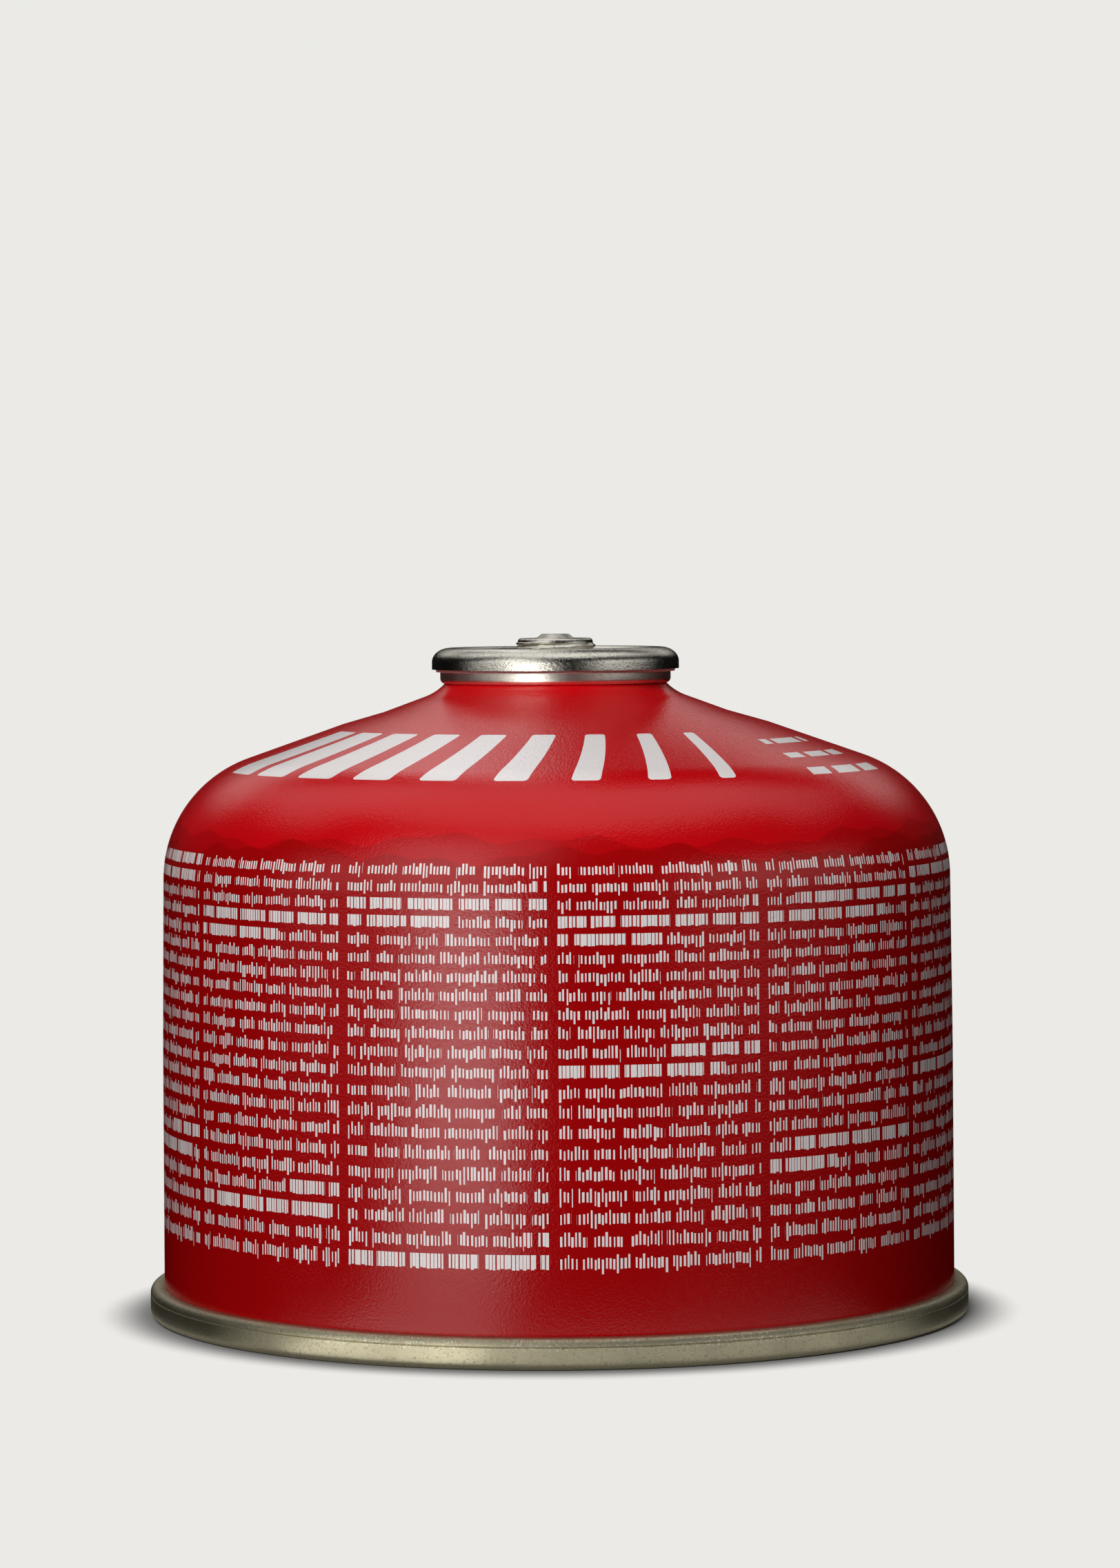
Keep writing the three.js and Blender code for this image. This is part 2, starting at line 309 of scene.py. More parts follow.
# Lamps: degrees round from the camera and up, distance, width, height, and the setting that holds the power.
LAMPS = {
    "key_lamp": (-17, 35, 1.5, 0.7, 0.7, "key_power"),
    "top_lamp": (0, 80, 1.4, 0.9, 0.9, "top_power"),
    "fill_lamp": (75, 20, 1.5, 0.6, 0.9, "fill_power"),
    "back_lamp_left": (-150, 14, 1.5, 0.6, 0.9, "back_power"),
    "back_lamp_right": (150, 14, 1.5, 0.6, 0.9, "back_power"),
}


# Drawing outlines and turning them


class Outline:
    """A profile in the XZ plane, drawn point by point and then turned round the Z axis."""

    def __init__(self, x, z):
        self.bm = bmesh.new()
        self.start = self.tip = self.bm.verts.new((x, 0, z))

    def line(self, *points):
        for x, z in points:
            self.tip = bmesh.ops.extrude_vert_indiv(self.bm, verts=[self.tip])["verts"][0]
            self.tip.co = (x, 0, z)
        return self

    def arc(self, centre, turn, steps, flatten=1.0):
        """Swings round a centre: a positive turn goes from +X towards +Z. flatten makes it an ellipse."""
        middle = Vector((centre[0], 0, centre[1]))
        known = set(self.bm.verts)
        made = bmesh.ops.spin(
            self.bm, geom=[self.tip], cent=middle, axis=(0, -1, 0), dvec=(0, 0, 0), angle=turn, steps=steps
        )
        self.tip = [item for item in made["geom_last"] if isinstance(item, bmesh.types.BMVert)][0]
        new = [v for v in self.bm.verts if v not in known]
        bmesh.ops.scale(self.bm, vec=(1, 1, flatten), space=Matrix.Translation(-middle), verts=new)
        return self

    def close(self):
        self.bm.edges.new((self.tip, self.start))
        return self

    def turned(self, sides):
        """A closed body of revolution as a bmesh."""
        ends = [v for v in (self.start, self.tip) if abs(v.co.x) < MERGE]
        for v in ends:
            v.co.x = 0
        bmesh.ops.spin(
            self.bm,
            geom=self.bm.verts[:] + self.bm.edges[:],
            cent=(0, 0, 0),
            axis=(0, 0, 1),
            dvec=(0, 0, 0),
            angle=math.tau,
            steps=sides,
            use_merge=True,
        )
        bmesh.ops.remove_doubles(self.bm, verts=self.bm.verts, dist=MERGE)
        bmesh.ops.dissolve_degenerate(self.bm, edges=self.bm.edges, dist=MERGE)
        bmesh.ops.recalc_face_normals(self.bm, faces=self.bm.faces)
        return self.bm


def piece_from(bm, name, materials, slot, *nodes):
    """A finished piece from a bmesh, in place of CAD nodes, on the canister's one body."""
    for face in bm.faces:
        face.smooth = True
    mesh = bpy.data.meshes.new(name)
    bm.to_mesh(mesh)
    bm.free()
    mesh.set_sharp_from_angle(angle=SHARP)
    for material in materials:
        mesh.materials.append(material)
    piece = bpy.data.objects.new(name, mesh)
    bpy.context.scene.collection.objects.link(piece)
    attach(piece, "root")
    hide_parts(*nodes)
    return piece


# Lines that the pieces share


def polar(centre, radius, turn):
    """The point at a distance and an angle from a centre, in the XZ plane."""
    return centre[0] + radius * math.cos(turn), centre[1] + radius * math.sin(turn)


def climb(start, radius, slope):
    """The point at another radius on a slope that rises towards the axis."""
    return radius, start[1] + (start[0] - radius) * math.tan(slope)


def lines_of(scene):
    """Centres, corners and levels of the profile, from the sizes."""
    can, base, cup = scene.canister_can, scene.canister_base, scene.canister_cup
    s = SimpleNamespace()
    s.shoulder_start = can.wall_radius - can.wall_taper
    s.shoulder_centre = (s.shoulder_start - can.shoulder_radius, can.wall_height)
    s.shoulder_turn = math.pi / 2 - can.cone_angle
    s.cone_start = polar(s.shoulder_centre, can.shoulder_radius, s.shoulder_turn)
    s.cone_end = climb(s.cone_start, can.cone_inner_radius, can.cone_angle)
    s.crease = climb(s.cone_end, can.crease_radius, can.flat_ring_angle)
    neck_radius = can.neck_bore + can.neck_sheet
    fillet_start_radius = neck_radius + can.neck_fillet * (1 - math.sin(can.neck_cone_angle))
    s.fillet_start = climb(s.crease, fillet_start_radius, can.neck_cone_angle)
    s.fillet_centre = (
        neck_radius + can.neck_fillet,
        s.fillet_start[1] + can.neck_fillet * math.cos(can.neck_cone_angle),
    )
    curl_radius = can.neck_bore + can.curl_section
    root_radius = curl_radius + can.curl_section * math.sin(can.curl_root)
    s.fillet_end = math.asin((s.fillet_centre[0] - root_radius) / can.neck_fillet)
    root_height = s.fillet_centre[1] - can.neck_fillet * math.cos(s.fillet_end)
    s.curl_centre = (curl_radius, root_height + can.curl_section * math.cos(can.curl_root))
    foot_rise = s.curl_centre[1] - can.curl_drop + can.curl_foot
    s.foot_centre = (curl_radius + can.curl_section - can.curl_foot, foot_rise)
    foot_height = foot_rise + can.curl_foot * math.sin(can.foot_start)
    s.fillet_end = math.acos((s.fillet_centre[1] - foot_height) / can.neck_fillet)

    s.chuck_radius = can.wall_radius - base.seam_leg - base.seat_gap - base.sheet
    s.knee_centre = (s.chuck_radius - base.knee, base.chuck_height)
    reach = base.panel_radius - base.knee
    s.knee_turn = math.acos(s.knee_centre[0] / reach)
    s.panel_centre = (0, s.knee_centre[1] - reach * math.sin(s.knee_turn))

    s.boss_top = CUP_HIGH.z - cup.cone_rise
    s.bead_top = s.boss_top - cup.boss_proud
    s.arch_base = s.bead_top - cup.bead_rise
    s.skirt_bottom = s.bead_top - cup.skirt_depth
    s.cup_bore = can.neck_bore - cup.bore_gap - cup.sheet
    s.arch_centre = ((cup.skirt_radius + s.cup_bore) / 2, s.arch_base)
    s.arch_half = (cup.skirt_radius - s.cup_bore) / 2
    s.channel_floor = s.bead_top - cup.channel_depth
    s.crimp_bore = s.cup_bore + cup.crimp_growth
    s.crimp_top = s.curl_centre[1] - can.curl_section - base.seat_gap
    s.boss_radius = cup.thread_radius - cup.thread_depth
    return s


# Material graphs


class Graph:
    """A material's node tree, with short calls for its maths."""

    def __init__(self, name):
        self.material = bpy.data.materials.new(name)
        self.material.use_nodes = True
        self.tree = self.material.node_tree
        self.tree.nodes.clear()
        self.output = self.node("ShaderNodeOutputMaterial")
        place = self.node("ShaderNodeTexCoord").outputs["Object"]
        split = self.node("ShaderNodeSeparateXYZ", place)
        self.place = place
        self.x, self.y, self.z = split.outputs

    def node(self, kind, *inputs, **settings):
        made = self.tree.nodes.new(kind)
        for key, value in settings.items():
            setattr(made, key, value)
        for socket, value in zip(made.inputs, inputs):
            self.put(socket, value)
        return made

    def put(self, socket, value):
        if isinstance(value, bpy.types.NodeSocket):
            self.tree.links.new(value, socket)
        else:
            socket.default_value = value

    def math(self, operation, *inputs):
        return self.node("ShaderNodeMath", *inputs, operation=operation).outputs[0]

    def add(self, a, b):
        return self.math("ADD", a, b)

    def minus(self, a, b):
        return self.math("SUBTRACT", a, b)

    def times(self, a, b):
        return self.math("MULTIPLY", a, b)

    def over(self, a, b):
        return self.math("DIVIDE", a, b)

    def either(self, a, b):
        return self.math("MAXIMUM", a, b)

    def both(self, *values):
        result = values[0]
        for value in values[1:]:
            result = self.math("MINIMUM", result, value)
        return result

    def under(self, a, b):
        """1 where a is less than b, else 0."""
        return self.math("LESS_THAN", a, b)

    def within(self, value, low, high):
        """1 where low < value < high, else 0."""
        return self.both(self.under(low, value), self.under(value, high))

    def floor(self, a):
        return self.math("FLOOR", a)

    def part(self, a):
        """The fraction of a number, also below nought."""
        return self.minus(a, self.floor(a))

    def vector(self, x, y, z):
        return self.node("ShaderNodeCombineXYZ", x, y, z).outputs[0]

    def chance(self, x, y, z):
        """Three random numbers from 0 to 1 for a cell."""
        noise = self.node("ShaderNodeTexWhiteNoise", self.vector(x, y, z), noise_dimensions="3D")
        return self.node("ShaderNodeSeparateColor", noise.outputs["Color"]).outputs

    def noise(self, scale, detail=2.0, rough=0.5, place=None):
        made = self.node("ShaderNodeTexNoise")
        self.put(made.inputs["Vector"], place or self.place)
        made.inputs["Scale"].default_value = scale
        made.inputs["Detail"].default_value = detail
        made.inputs["Roughness"].default_value = rough
        return made.outputs["Fac"]

    def stretch(self, value, low, high, new_low, new_high):
        """A value carried from one range to another, and held inside it."""
        made = self.node("ShaderNodeMapRange", value, low, high, new_low, new_high)
        return made.outputs[0]

    def ease(self, value, middle, blur):
        """0 well below the middle and 1 well above it, with a soft step between."""
        made = self.node("ShaderNodeMapRange", value, middle - blur, middle + blur, 0.0, 1.0)
        made.interpolation_type = "SMOOTHSTEP"
        return made.outputs[0]

    def blend(self, share, first, second):
        """Two colours, mixed by a share of the second."""
        made = self.node("ShaderNodeMix", data_type="RGBA")
        self.put(made.inputs[0], share)
        self.put(made.inputs[6], first)
        self.put(made.inputs[7], second)
        return made.outputs[2]

    def bump(self, height, distance, strength=1.0, under=None):
        made = self.node("ShaderNodeBump")
        made.inputs["Strength"].default_value = strength
        made.inputs["Distance"].default_value = distance
        self.put(made.inputs["Height"], height)
        if under is not None:
            self.put(made.inputs["Normal"], under)
        return made.outputs["Normal"]

    def surface(self, shader):
        self.put(self.output.inputs["Surface"], shader)
        return self.material

    def finish(self, **sockets):
        """A Principled surface with its own sockets filled, named with underscores for spaces."""
        shader = self.node("ShaderNodeBsdfPrincipled")
        for name, value in sockets.items():
            self.put(shader.inputs[name.replace("_", " ")], value)
        return self.surface(shader.outputs["BSDF"])

    def turn(self):
        """Angle round the axis: nought at the front, growing to the right."""
        return self.math("ARCTAN2", self.x, self.times(self.y, -1.0))

    def radius(self):
        return self.math("SQRT", self.add(self.times(self.x, self.x), self.times(self.y, self.y)))


def opaque(values):
    return (*values, 1.0)


def word_cells(g, along, row, word, gap, seed):
    """1 inside the uneven word-long groups of a row, 0 in the gaps between them."""
    cell = g.floor(g.over(along, word))
    cut, wide, _ = g.chance(cell, row, seed)
    edge = g.times(g.add(g.times(cut, 0.5), 0.25), word)
    offset = g.math("ABSOLUTE", g.minus(g.times(g.part(g.over(along, word)), word), edge))
    return g.under(g.times(g.add(g.times(wide, 0.6), 1.0), gap), offset)


ROW_FOOT = 0.26
TICK_PITCH = 0.285


def tick_rows(g, along, up, width, pitch, rows, tall, seed):
    """Rows of fine uneven ticks in word-long groups, which stand for small print without any lettering."""
    row = g.floor(g.over(up, pitch))
    height = g.minus(g.times(g.part(g.over(up, pitch)), pitch), ROW_FOOT * tall)
    reading = g.add(g.minus(float(rows - 1), row), g.over(along, width))
    first, second, _ = g.chance(seed, 7.1, 2.3)
    first, second = g.times(first, 0.3 * rows), g.times(g.add(second, 0.9), 0.5 * rows)
    heavy = g.either(
        g.within(reading, first, g.add(first, 1.6)), g.within(reading, second, g.add(second, 1.3))
    )
    tick = g.over(along, TICK_PITCH * tall)
    number = g.floor(tick)
    reach, drop, shift = g.chance(number, row, g.add(seed, 31.7))
    thick, crown, _ = g.chance(number, row, g.add(seed, 57.3))
    offset = g.math("ABSOLUTE", g.minus(g.part(tick), g.add(g.times(shift, 0.24), 0.38)))
    stroke = g.under(offset, g.add(g.add(0.17, g.times(thick, 0.16)), g.times(heavy, 0.13)))
    usual = g.times(g.add(0.66, g.times(crown, 0.16)), tall)
    raised = g.either(g.under(0.76, reach), heavy)
    top = g.add(g.times(raised, g.minus(tall, usual)), usual)
    lowered = g.both(g.under(0.9, drop), g.under(heavy, 0.5))
    bottom = g.minus(g.times(crown, 0.12 * tall), g.times(lowered, 0.3 * tall))
    mark = g.both(stroke, g.under(height, top), g.under(bottom, height))
    inside = g.both(g.within(along, 0.0, width), g.within(row, -0.5, rows - 0.5))
    return g.both(mark, word_cells(g, along, row, 3.3 * tall, 0.16 * tall, seed), inside)


def dash_rows(g, along, up, width, pitch, rows, tall, seed):
    """Rows of plain dashes of uneven length."""
    row = g.floor(g.over(up, pitch))
    height = g.times(g.part(g.over(up, pitch)), pitch)
    inside = g.both(g.within(along, 0.0, width), g.within(row, -0.5, rows - 0.5), g.under(height, tall))
    return g.both(inside, word_cells(g, along, row, 5.0 * tall, 0.35 * tall, seed))


def waves(g, turn, middle, swells):
    """A level that rises and falls round the axis: swells are (count, height, start)."""
    level = middle
    for times, height, start in swells:
        level = g.add(level, g.times(g.math("SINE", g.add(g.times(turn, float(times)), start)), height))
    return level


def layered_red(g, turn, cloud, colours, layout):
    """Bright red above, and below it a darker field whose wavy edge has a paler layer behind it."""
    edge = waves(g, turn, layout.field_height, FIELD_WAVES)
    haze = waves(g, turn, layout.field_height + layout.haze_rise, HAZE_WAVES)
    paint = g.blend(g.under(g.z, haze), opaque(colours.bright_red), opaque(colours.middle_red))
    paint = g.blend(g.under(g.z, edge), paint, opaque(colours.dark_red))
    return g.blend(g.stretch(cloud, 0.35, 0.65, 0.0, 0.14), paint, opaque(colours.dark_red))


def wall_words(g, turn, wall_radius, layout):
    """Columns of tick rows round the wall, which stand closer together towards the top."""
    pitch = math.tau * wall_radius / layout.columns
    along = g.minus(g.times(turn, wall_radius), layout.column_turn * wall_radius)
    column = g.floor(g.over(along, pitch))
    across = g.minus(g.minus(along, g.times(column, pitch)), layout.column_gap / 2)
    tall = layout.tick_height * layout.row_pitch
    up = g.minus(g.z, layout.lowest_row - ROW_FOOT * tall)
    squeeze = layout.row_squeeze / 2
    up = g.times(up, g.add(g.times(up, squeeze / (layout.rows * layout.row_pitch)), 1 - squeeze))
    seed = g.add(column, TICK_SEED)
    return tick_rows(g, across, up, pitch - layout.column_gap, layout.row_pitch, layout.rows, tall, seed)


def shoulder_stripes(g, run, radius, mean_radius, layout):
    """Leaning bars with rounded corners, each thinner than the one on its left."""
    span = layout.stripe_span * mean_radius
    step = span / layout.stripes
    number = g.floor(g.over(g.add(run, span / 2), step))
    middle = g.minus(g.times(g.add(number, 0.5), step), span / 2)
    half = g.minus(layout.stripe_width * step, g.times(number, layout.stripe_thinning * step))
    rounding = layout.stripe_rounding
    reach = (layout.stripe_outer - layout.stripe_inner) / 2 - rounding
    beyond = g.minus(g.math("ABSOLUTE", g.minus(run, middle)), g.minus(half, rounding))
    depth = g.minus(g.math("ABSOLUTE", g.minus(radius, mean_radius)), reach)
    outside = g.vector(g.either(beyond, 0.0), g.either(depth, 0.0), 0.0)
    distance = g.node("ShaderNodeVectorMath", outside, operation="LENGTH").outputs["Value"]
    return g.both(g.under(distance, rounding), g.within(number, -0.5, layout.stripes - 0.5))


def shoulder_dashes(g, run, radius, mean_radius, layout):
    """Rows of plain dashes beside the stripes."""
    pitch = (layout.stripe_outer - layout.stripe_inner) / layout.dash_rows
    along = g.minus(run, layout.dash_start * mean_radius)
    down = g.minus(layout.stripe_outer, radius)
    width = layout.dash_span * mean_radius
    tall = layout.dash_height * pitch
    return dash_rows(g, along, down, width, pitch, layout.dash_rows, tall, DASH_SEED)


def shoulder_print(g, turn, radius, layout):
    """Stripes and dashes on the shoulder, twice round."""
    local = g.minus(turn, layout.stripe_turn)
    half_turns = g.floor(g.add(g.over(local, math.pi), 0.5))
    local = g.minus(local, g.times(half_turns, math.pi))
    mean_radius = (layout.stripe_inner + layout.stripe_outer) / 2
    lean = g.times(g.minus(radius, mean_radius), layout.stripe_lean)
    run = g.add(g.times(local, mean_radius), lean)
    stripes = shoulder_stripes(g, run, radius, mean_radius, layout)
    dashes = shoulder_dashes(g, run, radius, mean_radius, layout)
    on_shoulder = g.under(layout.field_height + layout.shoulder_margin, g.z)
    return g.both(g.either(stripes, dashes), on_shoulder)


def painted_body(scene):
    """Red lacquer with a darker field, columns of ticks on the wall and plain stripes on the shoulder."""
    colours, layout = scene.canister_colours, scene.canister_print
    g = Graph("red_lacquer")
    turn = g.turn()
    cloud = g.noise(55.0, 3.0)
    paint = layered_red(g, turn, cloud, colours, layout)
    words = wall_words(g, turn, scene.canister_can.wall_radius, layout)
    printed = g.either(words, shoulder_print(g, turn, g.radius(), layout))
    printed = g.both(printed, g.under(layout.print_foot, g.z))
    tone = g.blend(g.times(printed, 0.96), paint, opaque(colours.print_white))
    grain = g.noise(3400.0, 3.0)
    peel = g.noise(900.0, 3.0)
    rough = g.add(g.stretch(cloud, 0.3, 0.7, 0.14, 0.18), g.times(grain, 0.05))
    normal = g.bump(grain, 0.045 * MM, 0.9, g.bump(peel, 0.03 * MM, 0.6))
    return g.finish(Base_Color=tone, Roughness=rough, Normal=normal)


def sheet_metal(g, tint, low, high, grain_scale, relief):
    """Colour, roughness and normal of stamped sheet: coarse grain, hairlines round the axis and dull pits."""
    grain = g.noise(grain_scale, 5.0, 0.65)
    cloud = g.noise(160.0, 3.0)
    ring = g.vector(g.times(g.turn(), 2.2 * MM), g.radius(), g.z)
    hair = g.noise(7000.0, 3.0, 0.7, ring)
    pits = g.stretch(grain, 0.55, 0.70, 0.0, 1.0)
    shade = g.blend(g.times(pits, 0.55), opaque(tint), opaque([v * 0.30 for v in tint]))
    shade = g.blend(g.stretch(cloud, 0.38, 0.66, 0.0, 0.4), shade, opaque([v * 0.72 for v in tint]))
    rough = g.add(g.stretch(cloud, 0.3, 0.7, low, high), g.times(pits, 0.18))
    normal = g.bump(hair, 0.4 * relief, 0.7, g.bump(grain, relief, 1.0))
    return shade, rough, normal


def metal(name, tint, low, high, grain_scale, relief):
    """Bare stamped tinplate."""
    g = Graph(name)
    shade, rough, normal = sheet_metal(g, tint, low, high, grain_scale, relief)
    return g.finish(Base_Color=shade, Roughness=rough, Normal=normal, Metallic=1.0)


def lacquered_rim(scene, seam_height):
    """Gold-lacquered tinplate, chipped to bare metal along the seam's upper edge, with patchy painted shade
    in the corner by the wall.
    """
    colours = scene.canister_colours
    g = Graph("gold_lacquer")
    shade, rough, normal = sheet_metal(g, colours.gold_lacquer, 0.42, 0.52, 2600.0, 0.07 * MM)
    outer = g.ease(g.radius(), scene.canister_base.seam_radius - 0.7 * MM, 0.3 * MM)
    edge = g.times(g.ease(g.z, seam_height - 1.5 * MM, 0.3 * MM), outer)
    chips = g.stretch(g.noise(3600.0, 4.0, 0.7), 0.55, 0.60, 0.0, 1.0)
    patches = g.stretch(g.noise(120.0, 2.0), 0.42, 0.58, 0.0, 1.0)
    bare = g.times(g.times(chips, patches), edge)
    shade = g.blend(g.times(bare, 0.8), shade, opaque(colours.tinplate))
    # Painted shade: patchy dark brown laid in the corner where the seam meets the wall.
    corner = g.minus(1.0, g.ease(g.radius(), scene.canister_base.seam_radius - 1.3 * MM, 0.5 * MM))
    corner_shade = g.times(g.stretch(g.noise(900.0, 3.0), 0.35, 0.6, 0.3, 1.0), corner)
    shade = g.blend(g.times(corner_shade, 0.45), shade, (0.06, 0.045, 0.03, 1.0))
    rough = g.minus(rough, g.times(bare, 0.12))
    return g.finish(Base_Color=shade, Roughness=rough, Normal=normal, Metallic=1.0)


def rubber(name, tint):
    """Matt rubber with a fine speckle."""
    g = Graph(name)
    speck = g.noise(4000.0, 3.0)
    shade = g.blend(g.stretch(speck, 0.4, 0.7, 0.0, 0.5), opaque(tint), opaque([v * 1.8 for v in tint]))
    rough = g.stretch(speck, 0.3, 0.7, 0.55, 0.8)
    return g.finish(Base_Color=shade, Roughness=rough, Normal=g.bump(speck, 0.02 * MM))


def moulded(name, tint):
    """Moulded plastic with a faint flow pattern."""
    g = Graph(name)
    flow = g.noise(700.0, 3.0)
    shade = g.blend(g.stretch(flow, 0.3, 0.7, 0.0, 0.3), opaque(tint), opaque([v * 0.8 for v in tint]))
    rough = g.stretch(flow, 0.3, 0.7, 0.38, 0.52)
    return g.finish(Base_Color=shade, Roughness=rough, Normal=g.bump(flow, 0.01 * MM))


# Pieces


class CanOperator(bpy.types.Operator):
    """Build the drawn and painted can with its neck curl"""

    bl_idname = "canister.can"
    bl_label = "Can body"

    def underside(self, pen, s, can, base):
        """The can's lower face, which lies on the base, and the straight wall's foot."""
        depth = base.sheet + base.seat_gap
        leg_bottom = base.seam_floor + base.seat_gap
        pen.arc(s.panel_centre, s.knee_turn - math.pi / 2, PANEL_STEPS)
        pen.arc(s.knee_centre, -s.knee_turn, BEND_STEPS)
        pen.line((s.chuck_radius + depth, leg_bottom), (can.wall_radius, leg_bottom))

    def outside(self, pen, s, can):
        """The wall, the shoulder, the neck and the curl round it."""
        pen.line((can.wall_radius, can.straight_height), (s.shoulder_start, can.wall_height))
        pen.arc(s.shoulder_centre, s.shoulder_turn, ARCH_STEPS)
        pen.line(s.cone_end, s.crease, s.fillet_start)
        pen.arc(s.fillet_centre, -(s.fillet_end - can.neck_cone_angle), 2 * BEND_STEPS)
        pen.line(polar(s.foot_centre, can.curl_foot, can.foot_start))
        pen.arc(s.foot_centre, -can.foot_start, 8)
        pen.line((s.curl_centre[0] + can.curl_section, s.curl_centre[1]))
        pen.arc(s.curl_centre, can.undercut, CURL_STEPS)

    def pocket(self, pen, s, can, room):
        """The neck's pocket for the crimped cup, and the well for the valve."""
        undercut = polar(s.curl_centre, can.curl_section, can.undercut)
        pocket_radius = s.crimp_bore + room
        pocket_floor = s.channel_floor - room
        well_bottom = VALVE_LOW.z - can.well_gap
        pen.line((pocket_radius, undercut[1] - (pocket_radius - undercut[0])))
        pen.line((pocket_radius, pocket_floor), (can.well_radius, pocket_floor))
        pen.line((can.well_radius, well_bottom), (0, well_bottom))

    def leave_curl_bare(self, bm, s, can):
        """Gives the second material to the curl and the pocket."""
        level = s.curl_centre[1] - can.curl_drop * can.paint_edge
        for face in bm.faces:
            middle = face.calc_center_median()
            close = math.hypot(middle.x, middle.y) < s.curl_centre[0] + can.curl_section
            face.material_index = int(middle.z > level and close)

    def execute(self, context):
        scene = context.scene
        can, base = scene.canister_can, scene.canister_base
        s = lines_of(scene)
        pen = Outline(0, s.panel_centre[1] + base.panel_radius + base.sheet + base.seat_gap)
        self.underside(pen, s, can, base)
        self.outside(pen, s, can)
        self.pocket(pen, s, can, scene.canister_cup.sheet + base.seat_gap)
        bm = pen.turned(CAN_SIDES)
        self.leave_curl_bare(bm, s, can)
        tinplate = scene.canister_colours.tinplate
        bare_metal = metal("neck_tinplate", tinplate, 0.30, 0.40, 3200.0, 0.02 * MM)
        piece_from(bm, "painted_can", [painted_body(scene), bare_metal], "body_paint", "can_body")
        return {"FINISHED"}


class BaseOperator(bpy.types.Operator):
    """Build the domed base with its double seam"""

    bl_idname = "canister.base"
    bl_label = "Base and seam"

    def execute(self, context):
        can, base = context.scene.canister_can, context.scene.canister_base
        s = lines_of(context.scene)
        out, within = base.outer_rounding, base.inner_rounding
        hook = can.wall_radius + base.hook_gap
        chuck_outside = s.chuck_radius + base.sheet
        pen = Outline(0, s.panel_centre[1] + base.panel_radius)
        pen.arc(s.panel_centre, s.knee_turn - math.pi / 2, PANEL_STEPS)
        pen.arc(s.knee_centre, -s.knee_turn, BEND_STEPS)
        pen.line((s.chuck_radius, within))
        pen.arc((s.chuck_radius + within, within), math.pi / 2, BEND_STEPS)
        pen.line((base.seam_radius - out, 0))
        pen.arc((base.seam_radius - out, out), math.pi / 2, 8)
        mark = base.seam_height - out - base.roll_mark
        pen.line((base.seam_radius, mark - base.roll_mark), (base.seam_radius - base.roll_mark, mark))
        pen.line((base.seam_radius, mark + base.roll_mark))
        pen.arc((base.seam_radius - out, base.seam_height - out), math.pi / 2, 8)
        pen.line((hook, base.seam_height), (hook, base.seam_floor))
        pen.line((chuck_outside, base.seam_floor), (chuck_outside, base.chuck_height))
        pen.arc(s.knee_centre, s.knee_turn, BEND_STEPS)
        pen.arc(s.panel_centre, math.pi / 2 - s.knee_turn, PANEL_STEPS)
        lacquer = lacquered_rim(context.scene, base.seam_height)
        piece_from(pen.turned(CAN_SIDES), "seamed_base", [lacquer], "lacquered_steel", "bottom_end")
        return {"FINISHED"}


